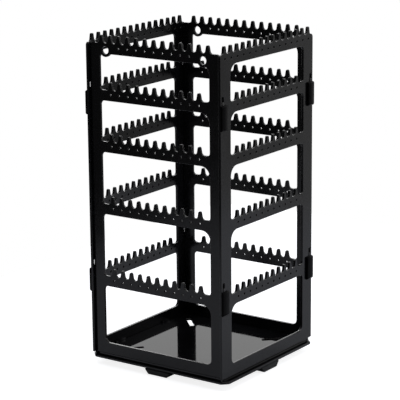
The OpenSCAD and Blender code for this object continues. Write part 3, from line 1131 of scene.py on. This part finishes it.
    def build(self) -> None:
        """Builds the panel and puts it in its node's place."""
        plate = self.plate()
        if not self.side.has_hooks:
            tool, blocks = self.pockets(), self.blocks()
            carved(plate, tool, Carving.CUT)
            carved(blocks, tool, Carving.CUT)
            discard(tool)
            # The socket blocks take the darker copy of the black, which is painted shade
            dress(blocks, SOCKET_PAINTED_SHADE_ABS, "tower", "panel_plastic")
        dress(plate, PANEL_ABS, "tower", "panel_plastic", self.name)


# ---- Tray -----------------------------------------------------------------------------------

@dataclass
class Race:
    """Sizes of the ball race and of the pivot, which the tray, the base and the cage share."""

    turn_gap: float = 0.6  # between the arms and the flange
    ball_d: float = 4.0
    ball_n: int = 12
    race_d: float = 48.0
    cage_t: float = 1.0
    cage_w: float = 7.0
    race_play: float = 0.2
    ball_drop: float = 0.7  # of the balls, from the middle between arm and tray
    pivot_d: float = 12.0
    pivot_play: float = 0.1
    washer_d: float = 20.0
    washer_t: float = 1.0
    washer_gap: float = 0.3
    screw_d: float = 3.0
    head_h: float = 1.2
    head_d: float = 6.0
    hub_rim: float = 0.4

    def __post_init__(self) -> None:
        """Works out the heights, from the table up."""
        self.arm_z = TOWER.base_h - self.turn_gap
        self.ball_z = (self.arm_z + TOWER.under_z) / 2 - self.ball_drop
        self.hub_top = self.ball_z - self.cage_t / 2 - 2 * self.race_play
        self.ring_z = self.ball_z + self.cage_t / 2 + 2 * self.race_play
        self.groove_r = self.ball_d / 2 + self.race_play
        self.washer_z = TOWER.base_h / 3
        self.boss_z = self.washer_z + self.washer_t
        self.seat_z = self.boss_z + self.washer_gap
        self.hub_z = self.washer_z - self.hub_rim
        self.ring_in = self.race_d / 2 - self.cage_w / 2
        self.ring_out = self.race_d / 2 + self.cage_w / 2
        self.screw_hole = (self.screw_d + self.pivot_play) / 2

    def groove(self, face: float, above: bool) -> Loop:
        """The groove's section, walked from its outer lip to its inner one.

        Args:
            face: Height of the face that the groove is cut in.
            above: Whether the groove is cut upwards into the ring, or down into the hub.

        Returns:
            Points of (radius, height).
        """
        half = math.degrees(math.asin(abs(self.ball_z - face) / self.groove_r))
        start, end = (half, 180 - half) if above else (-half, half - 180)
        return arc(self.race_d / 2, self.ball_z, self.groove_r, start, end, GROOVE_CHORDS)


@dataclass
class Tray:
    """The glossy tray: flange, raised platform, floor, race ring, ribs and pivot boss."""

    race: Race
    flange_cut: float = 5.5
    platform_cut: float = 1.2
    corner_r: float = 1.0
    ear_w: float = 1.2
    ear_edge: float = 0.1
    skirt_t: float = 2.6
    slot_l: float = 24.0
    slot_w: float = 5.0
    slot_r: float = 0.3
    slot_edge: float = 0.2
    slot_from_corner: float = 32.0
    rib_t: float = 1.6
    rib_edge: float = 0.15
    rib_lap: float = 1.0  # of a rib into the race ring
    chamfer: float = 0.3
    sink: float = 0.4  # how deep the ring, the ribs and the boss start in the floor
    lip: float = 0.35

    def floor_openings(self) -> list[Loop]:
        """The diagonal slots and the slots for the panels' tongues.

        Returns:
            The loops, in plan.
        """
        t, r = TOWER, self.slot_r
        back = t.panel_t + self.slot_from_corner / math.sqrt(2)
        x, y = t.tower_x / 2 - back, t.hook_y - back
        out = [slot(sx * x, sy * y, self.slot_l, self.slot_w, sx * sy * 45, r)
               for sx in (-1, 1) for sy in (-1, 1)]
        mid = t.lug_reach + t.lug_t / 2
        length, width = t.lug_w + 2 * t.play, t.lug_t + t.play
        for s in (-1, 1):
            for u in (-t.lug_x, t.lug_x):
                out.append(slot(u, s * (t.hook_y - mid), length, width, 0, r))
                out.append(slot(s * (t.socket_x - mid), u, length, width, 90, r))
        return out

    def shell(self, draft: Draft) -> None:
        """The rim, as a section swept round the tray, with the floor that closes it.

        Args:
            draft: The tray's draft.
        """
        t, lip, bevel = TOWER, self.lip, self.lip / 3
        out_x, out_y = t.flange_x, t.flange_y
        in_x, in_y = t.tower_x / 2 - t.gap_d, t.hook_y - t.gap_d
        cave_x, cave_y = in_x - self.skirt_t, in_y - self.skirt_t
        wide, cut, step = self.flange_cut, self.platform_cut, t.base_h + t.flange_t
        # Half sizes, corner cut and height of each level, from the cave up to the floor
        section = [(cave_x, cave_y, cut, t.under_z),
                   (cave_x, cave_y, cut, t.base_h + lip),
                   (cave_x + lip, cave_y + lip, cut, t.base_h),
                   (out_x - lip, out_y - lip, wide, t.base_h),
                   (out_x, out_y, wide, t.base_h + lip),
                   (out_x, out_y, wide, step - lip),
                   (out_x - bevel, out_y - bevel, wide, step - bevel),
                   (out_x - lip, out_y - lip, wide, step),
                   (in_x + lip, in_y + lip, cut, step),
                   (in_x, in_y, cut, step + lip),
                   (in_x, in_y, cut, t.panel_z - lip),
                   (in_x - bevel, in_y - bevel, cut, t.panel_z - bevel),
                   (in_x - lip, in_y - lip, cut, t.panel_z)]
        levels = [(cut_rectangle(x, y, c, self.corner_r), z) for x, y, c, z in section]
        rings = [draft.ring(upright(), shape, z) for shape, z in levels]
        for (shape, _), low, high in zip(levels, rings, rings[1:]):
            draft.band(low, high, shape)
        for low in rings[:-1]:
            self.crease(draft, low)
        edge = self.slot_edge
        holes = [turned(h, False) for h in self.floor_openings()]
        lower = [draft.ring(upright(), h, t.under_z) for h in holes]
        wall = [draft.ring(upright(), h, t.panel_z - edge) for h in holes]
        upper = [draft.ring(upright(), inset(h, edge), t.panel_z) for h in holes]
        for h, a, b, c in zip(holes, lower, wall, upper):
            draft.band(a, b, h)
            draft.band(b, c, h)
        draft.cap([levels[-1][0]] + [inset(h, edge) for h in holes], [rings[-1]] + upper, True)
        draft.cap([levels[0][0]] + holes, [rings[0]] + lower, False)

    @staticmethod
    def crease(draft: Draft, ring: Ring) -> None:
        """Keeps the wide flats of the rim flat, by marking where it turns sharply.

        Args:
            draft: The tray's draft.
            ring: Vertices of one level of the rim.
        """
        for a, b in zip(ring, ring[1:] + ring[:1]):
            edge = draft.bm.edges.get((a, b))
            if len(edge.link_faces) == 2:
                for face in edge.link_faces:
                    face.normal_update()
                if edge.calc_face_angle(0) > Draft.SHARP:
                    edge.smooth = False

    def underside(self, draft: Draft) -> None:
        """The race ring, the four ribs that carry it out to the skirt, and the pivot boss.

        Args:
            draft: The tray's draft.
        """
        t, r, c = TOWER, self.race, self.chamfer
        sunk = t.under_z + self.sink
        draft.lathe([(r.ring_out, sunk), (r.ring_out, r.ring_z), *r.groove(r.ring_z, True),
                     (r.ring_in, r.ring_z), (r.ring_in, sunk)])
        rim = r.pivot_d / 2
        draft.lathe([(rim, sunk), (rim, r.boss_z + c), (rim - c, r.boss_z),
                     (r.screw_hole, r.boss_z), (r.screw_hole, sunk)], SMALL_STEPS)
        for i, side in enumerate((t.tower_x / 2, t.hook_y) * 2):
            end = side - t.gap_d - self.skirt_t / 2
            loop = rectangle(r.ring_out - self.rib_lap, -self.rib_t / 2, end, self.rib_t / 2)
            draft.slab(spun(i), loop, [], r.ring_z, sunk, self.rib_edge, 1)

    def ears(self, draft: Draft) -> None:
        """What closes the shadow gap under the ends of the socket panels.

        Args:
            draft: The tray's draft.
        """
        t = TOWER
        x1, y1 = t.socket_x - t.gap_d, t.tower_y / 2 - t.gap_d
        x0, y0 = x1 - self.ear_w, t.hook_y - t.gap_d - 2 * self.platform_cut
        for sx in (-1, 1):
            for sy in (-1, 1):
                (xa, xb), (ya, yb) = sorted((sx * x0, sx * x1)), sorted((sy * y0, sy * y1))
                draft.slab(upright(), rectangle(xa, ya, xb, yb, t.small_edge), [],
                           t.base_h + t.flange_t - self.lip, t.panel_z, self.ear_edge, 1)

    def build(self) -> None:
        """Builds the tray in one moulding."""
        draft = Draft()
        self.shell(draft)
        self.ears(draft)
        self.underside(draft)
        dress(draft.write("tray_moulding"), GLOSS_ABS, "tower", "tray_plastic", "tray")


# ---- Swivel base ----------------------------------------------------------------------------

@dataclass
class SwivelBase:
    """The stationary cross: four arms with trapezoidal feet, a hub with the lower race, pads."""

    race: Race
    arm_w: float = 30.0
    foot_w: float = 21.0
    foot_l: float = 12.0
    foot_r: float = 0.5
    foot_in: float = 0.5  # how far the feet stop short of the flange
    arm_t: float = 3.0
    arm_edge: float = 0.4
    under_edge: float = 0.3
    pad_t: float = 1.4
    pad_r: float = 0.8
    pad_rim: float = 2.0
    pad_out: float = 0.8
    hub_d: float = 60.0
    hub_lap: float = 2.0  # of an arm into the hub
    hub_chamfer: float = 0.4
    bore_chamfer: float = 0.3
    well_chamfer: float = 0.2
    well_play: float = 1.0
    tool_reach: float = 3.0  # how far below the feet a cut starts

    def reach(self, i: int) -> float:
        """Outer end of arm i, which counts from +X against the clock."""
        return (TOWER.flange_x if i % 2 == 0 else TOWER.flange_y) - self.foot_in

    def arm(self, i: int) -> bpy.types.Object:
        """One arm with its foot, tapered towards the table and open under the arm.

        Args:
            i: Its number, which counts from +X against the clock.

        Returns:
            The object.
        """
        end, top, low = self.reach(i), self.race.arm_z, self.pad_out
        section = rounded([(-self.foot_w / 2, low), (self.foot_w / 2, low),
                           (self.arm_w / 2, top), (-self.arm_w / 2, top)], self.foot_r)
        outward = Matrix(((0, 0, 1, 0), (1, 0, 0, 0), (0, 1, 0, 0), (0, 0, 0, 1)))
        draft = Draft()
        draft.slab(spun(i) @ outward, section, [], self.hub_d / 3, end, self.arm_edge)
        arm = draft.write(f"arm_{i}")
        under = Draft()
        start = low - self.tool_reach
        under.slab(spun(i), rectangle(0, -self.arm_w, end - self.foot_l, self.arm_w, self.foot_r),
                   [], start, top - self.arm_t, self.under_edge)
        well = rectangle(end - self.foot_l + self.pad_rim, self.pad_rim - self.foot_w / 2,
                         end - self.pad_rim, self.foot_w / 2 - self.pad_rim)
        under.slab(spun(i), well, [], start, self.pad_t, TOWER.tool_edge, 1)
        core = circle(0, 0, self.hub_d / 2 - self.hub_lap, TURN_STEPS)
        under.slab(upright(), core, [], -self.hub_lap, TOWER.panel_z, TOWER.tool_edge, 1)
        tool = under.write("under_arm")
        carved(arm, tool, Carving.CUT)
        discard(tool)
        return arm

    def hub(self) -> bpy.types.Object:
        """The hub, turned: rim, groove for the balls, bore and the well for the washer.

        Returns:
            The object.
        """
        r, c, b, w = self.race, self.hub_chamfer, self.bore_chamfer, self.well_chamfer
        rim, bore = self.hub_d / 2, (r.pivot_d + r.pivot_play) / 2
        well = r.washer_d / 2 + self.well_play
        draft = Draft()
        draft.lathe([(rim, r.hub_z + c), (rim, r.hub_top - c), (rim - c, r.hub_top),
                     *r.groove(r.hub_top, False), (bore + b, r.hub_top), (bore, r.hub_top - b),
                     (bore, r.seat_z), (well, r.seat_z), (well, r.hub_z + w),
                     (well + w, r.hub_z), (rim - c, r.hub_z)])
        return draft.write("base_moulding")

    def build(self) -> None:
        """Builds the base in one moulding, and a rubber pad in each foot."""
        hub = self.hub()
        for i in range(4):
            arm = self.arm(i)
            carved(hub, arm, Carving.JOIN)
            discard(arm)
        dress(hub, BASE_ABS, "root", "base_plastic", "swivel_base")
        gap = TOWER.play / 2
        for i, name in enumerate(("right_pad", "back_pad", "left_pad", "front_pad")):
            end = self.reach(i)
            loop = rectangle(end - self.foot_l + self.pad_rim + gap,
                             self.pad_rim + gap - self.foot_w / 2, end - self.pad_rim - gap,
                             self.foot_w / 2 - self.pad_rim - gap, self.pad_r)
            draft = Draft()
            draft.slab(spun(i), loop, [], 0, self.pad_t, TOWER.small_edge)
            dress(draft.write(name + "_rubber"), PAD_RUBBER, "root", "pad_rubber", name)


# ---- Ball race and pivot --------------------------------------------------------------------

@dataclass
class Bearing:
    """The balls in their cage, and the washer and screw that hold the tray down."""

    race: Race
    wheel: Pattern
    broken_edge: float = 0.12  # of the cage and the washer
    screw_short: float = 0.8  # how far the screw's tip stops below the tray floor's underside
    screw_tip: float = 0.4
    screw_core: float = 0.02  # the turned section stops just short of the axis
    # The head's rounding: how far in from its rim and up from its face each corner lies
    pan: tuple[Point, ...] = ((0.0, 0.5), (0.15, 0.2), (0.5, 0.0))
    recess_w: float = 0.8
    recess_depth: float = 0.6  # of the head's height
    recess_start: float = 1.0  # how far below the head its cut starts

    def balls(self) -> None:
        """Twelve balls on the race."""
        r = self.race
        draft = Draft()
        bmesh.ops.create_icosphere(draft.bm, subdivisions=BALL_SUBDIVISIONS,
                                   radius=r.ball_d / 2 * MM)
        for face in draft.bm.faces:
            face.smooth = True
        one = draft.write("ball")
        made = self.wheel.make("balls_on_race", one, r.ball_n, r.race_d / 2, r.ball_z,
                               BALL_STEEL.material())
        discard(one)
        dress(made, BALL_STEEL, "cage", "ball_steel", "bearing_balls")

    def cage(self) -> None:
        """The flat ring that keeps the balls apart, with a round pocket for each."""
        r = self.race
        shape = wire("pocket", circle(0, 0, r.ball_d / 2 + r.race_play, POCKET_CHORDS), True)
        pockets = chains(self.wheel.make("pockets", shape, r.ball_n, r.race_d / 2, 0,
                                         CAGE_NYLON.material()))
        discard(shape)
        draft = Draft()
        draft.slab(upright(), circle(0, 0, r.ring_out, FINE_STEPS),
                   [circle(0, 0, r.ring_in, TURN_STEPS)] + pockets, r.ball_z - r.cage_t / 2,
                   r.ball_z + r.cage_t / 2, self.broken_edge)
        dress(draft.write("cage_ring"), CAGE_NYLON, "cage", "cage_nylon", "ball_cage")

    def washer(self) -> None:
        """A turned washer with broken edges."""
        r, c = self.race, self.broken_edge
        out, hole = r.washer_d / 2, r.screw_hole
        low, high = r.washer_z, r.boss_z
        draft = Draft()
        draft.lathe([(out, low + c), (out, high - c), (out - c, high), (hole + c, high),
                     (hole, high - c), (hole, low + c), (hole + c, low), (out - c, low)],
                    SMALL_STEPS)
        dress(draft.write("washer_turned"), ZINC_STEEL, "tower", "zinc_steel", "pivot_washer")

    def screw(self) -> None:
        """A pan-head screw with a cross recess, seen from below."""
        r, core, taper = self.race, self.screw_core, self.screw_tip
        shank, head = r.screw_d / 2, r.head_d / 2
        tip, low = TOWER.under_z - self.screw_short, r.washer_z - r.head_h
        draft = Draft()
        draft.lathe([(core, tip), (shank - taper, tip), (shank, tip - taper),
                     (shank, r.washer_z), (head, r.washer_z),
                     *((head - inset_by, low + off) for inset_by, off in self.pan),
                     (core, low)], SCREW_STEPS)
        screw = draft.write("screw_turned")
        cross = Draft()
        half = self.recess_w / 2
        for i in range(2):
            cross.slab(spun(i), rectangle(-head / 2, -half, head / 2, half), [],
                       low - self.recess_start, low + self.recess_depth * r.head_h,
                       TOWER.tool_edge, 1)
        tool = cross.write("cross")
        carved(screw, tool, Carving.CUT)
        discard(tool)
        dress(screw, ZINC_STEEL, "tower", "zinc_steel", "pivot_screw")

    def build(self) -> None:
        """Builds the bearing and the pivot."""
        self.balls()
        self.cage()
        self.washer()
        self.screw()


# ---- Studio ---------------------------------------------------------------------------------

@dataclass(frozen=True)
class Softbox:
    """A soft rectangular lamp that looks at the middle of the rack. Sizes are in metres."""

    name: str
    place: Place
    size: tuple[float, float]
    watts: float


@dataclass
class Studio:
    """Camera, floor and light. The camera is stated by a fit to the photograph's frame."""

    azimuth: float = 35.21
    pitch: float = 13.79
    roll: float = -0.51
    distance: float = 1728.1
    focal_px: float = 1818.6
    frame_px: float = 400.0
    sensor: float = 36.0
    clip: tuple[float, float] = (0.05, 60.0)  # metres
    aim: Place = (0.0, 0.0, 150.0)
    shift: Point = (-1.77, 5.09)
    sheet: tuple[float, float, float, float] = (-345.0, -700.0, 700.0, 535.0)
    sheet_r: float = 60.0  # its corners
    sheet_edge: float = 2.0
    sheet_low: float = -12.0
    sheet_top: float = -0.05  # just clear of the pads
    paper: str = "#b8bac1"
    white: str = "#ffffff"
    paper_lift: float = 0.85  # what the camera needs to see the lit paper as white
    bright_way: Place = (-0.6, 0.8, 0.0)  # the back left
    bright_from: float = 0.1  # cosine from that way where the world starts to brighten
    bright_full: float = 0.8
    dim: float = 0.05
    full: float = 1.0
    lamps: tuple[Softbox, ...] = (
        Softbox("top_softbox", (0.1, 0.0, 1.6), (1.6, 1.6), 14),
        Softbox("right_softbox", (1.5, 0.5, 0.7), (1.0, 1.4), 8),
        Softbox("rear_softbox", (-1.3, 1.3, 1.2), (0.8, 0.8), 8),
    )

    def camera(self) -> None:
        """Places the camera."""
        a, e, r = (math.radians(x) for x in (self.azimuth, self.pitch, self.roll))
        ahead = Vector((-math.sin(a) * math.cos(e), math.cos(a) * math.cos(e), -math.sin(e)))
        right = Vector((math.cos(a), math.sin(a), 0))
        up = right.cross(ahead)
        eye = Vector(self.aim) + right * self.shift[0] + up * self.shift[1] - ahead * self.distance
        right, up = (right * math.cos(r) + up * math.sin(r), up * math.cos(r) - right * math.sin(r))
        lens = bpy.data.cameras.new("camera")
        lens.sensor_width = self.sensor
        lens.lens = self.focal_px / self.frame_px * self.sensor
        lens.clip_start, lens.clip_end = self.clip
        obj = added("camera", lens)
        turn = Matrix((right, up, -ahead)).transposed().to_4x4()
        obj.matrix_world = Matrix.Translation(eye * MM) @ turn
        bpy.context.scene.camera = obj

    def floor(self) -> None:
        """A pale floor that shows the contact shadow and is white to the camera."""
        draft = Draft()
        draft.slab(upright(), rectangle(*self.sheet, self.sheet_r), [], self.sheet_low,
                   self.sheet_top, self.sheet_edge)
        obj = draft.write("floor")
        made = bpy.data.materials.new("paper_matt_white")
        tree = cleared(made)
        path = node(tree, "ShaderNodeLightPath")
        paper = node(tree, "ShaderNodeBsdfDiffuse", {"Color": colour(self.paper)})
        seen = node(tree, "ShaderNodeMath",
                    {0: path.outputs["Is Camera Ray"], 1: self.paper_lift}, operation="MULTIPLY")
        glow = node(tree, "ShaderNodeEmission",
                    {"Color": colour(self.white), "Strength": seen.outputs[0]})
        lift = node(tree, "ShaderNodeAddShader", {0: paper.outputs[0], 1: glow.outputs[0]})
        node(tree, "ShaderNodeOutputMaterial", {0: lift.outputs[0]})
        obj.data.materials.append(made)

    def lamp(self, box: Softbox) -> None:
        """Places one lamp.

        Args:
            box: The lamp.
        """
        light = bpy.data.lights.new(box.name, "AREA")
        light.shape = "RECTANGLE"
        light.size, light.size_y = box.size
        light.energy = box.watts
        place = Vector(box.place)
        turn = (Vector(self.aim) * MM - place).to_track_quat("-Z", "Y").to_matrix().to_4x4()
        added(box.name, light).matrix_world = Matrix.Translation(place) @ turn

    def world(self) -> None:
        """A world that is white to the camera, and lights the rack from the back left.

        To other rays it is dim elsewhere, which leaves the front face and the sockets dark.
        """
        world = bpy.data.worlds.new("studio")
        bpy.context.scene.world = world
        tree = cleared(world)
        path = node(tree, "ShaderNodeLightPath")
        way = node(tree, "ShaderNodeTexCoord").outputs["Generated"]
        side = node(tree, "ShaderNodeVectorMath", {0: way, 1: self.bright_way},
                    operation="DOT_PRODUCT")
        wall = node(tree, "ShaderNodeMapRange",
                    {"Value": side.outputs["Value"], "From Min": self.bright_from,
                     "From Max": self.bright_full, "To Min": self.dim, "To Max": self.full},
                    interpolation_type="SMOOTHSTEP")
        seen = node(tree, "ShaderNodeMath",
                    {0: wall.outputs[0], 1: path.outputs["Is Camera Ray"]}, operation="MAXIMUM")
        back = node(tree, "ShaderNodeBackground",
                    {"Color": colour(self.white), "Strength": seen.outputs[0]})
        node(tree, "ShaderNodeOutputWorld", {0: back.outputs[0]})

    def build(self) -> None:
        """Sets up the picture."""
        self.camera()
        self.floor()
        for box in self.lamps:
            self.lamp(box)
        self.world()
        bpy.context.scene.view_settings.view_transform = "Standard"


def main() -> None:
    """Builds every sub-assembly, then the studio, and notes the sizes."""
    logging.basicConfig(level=logging.INFO, format="%(name)s: %(message)s")
    race = Race()
    rows, wheel = Pattern(Layout.ROW), Pattern(Layout.WHEEL)
    for side in Side:
        CombPanel(side, rows).build()
    Tray(race).build()
    SwivelBase(race).build()
    Bearing(race, wheel).build()
    Studio().build()


if __name__ == "__main__":
    main()
